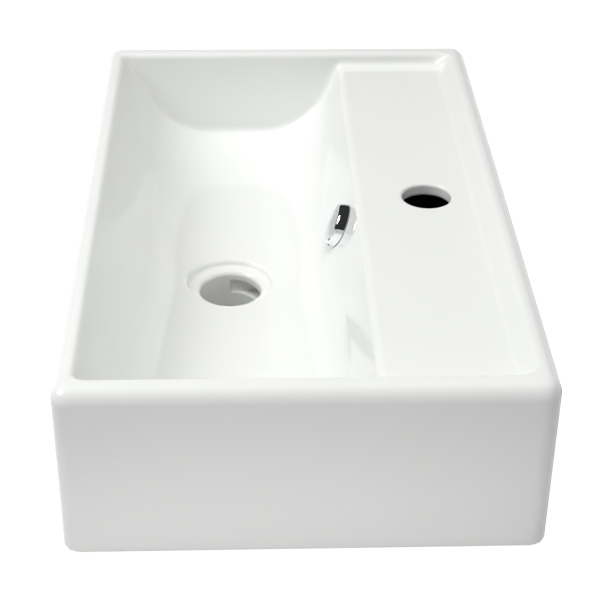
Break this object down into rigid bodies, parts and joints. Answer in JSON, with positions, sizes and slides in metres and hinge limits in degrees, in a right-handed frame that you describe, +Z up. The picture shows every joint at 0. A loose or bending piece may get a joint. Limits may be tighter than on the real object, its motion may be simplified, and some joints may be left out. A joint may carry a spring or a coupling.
{
  "type": "wall hung basin",
  "caption": "Compact rectangular wall hung basin with a raised rim, a tap deck along the wall, a U-shaped trough, a drain hole and a pull-out overflow cap.",
  "frame": {"origin": "midway between the two wall fixing holes, on the wall face", "axes": "+Z up, +Y into the wall, +X to the right of a person who faces the wall"},
  "size_m": [0.5, 0.3, 0.12],
  "materials": {
    "white_glaze": "high gloss white glaze",
    "cap_chrome": "bright chrome plate",
    "seat_rubber": "matt",
    "spring_steel": "plain strip",
    "screw_steel": "plain"
  },
  "bodies": {
    "basin": {"basin_body": "white_glaze"},
    "overflow_fitting": {"overflow_cap": "cap_chrome", "overflow_seat_ring": "seat_rubber", "overflow_clip": "spring_steel", "overflow_screw": "screw_steel"}
  },
  "joints": [
    {"name": "overflow_cap_pull", "type": "slide", "parent": "basin", "child": "overflow_fitting", "axis": [0, -0.9135, 0.4067], "range_m": [0, 0.03]}
  ]
}
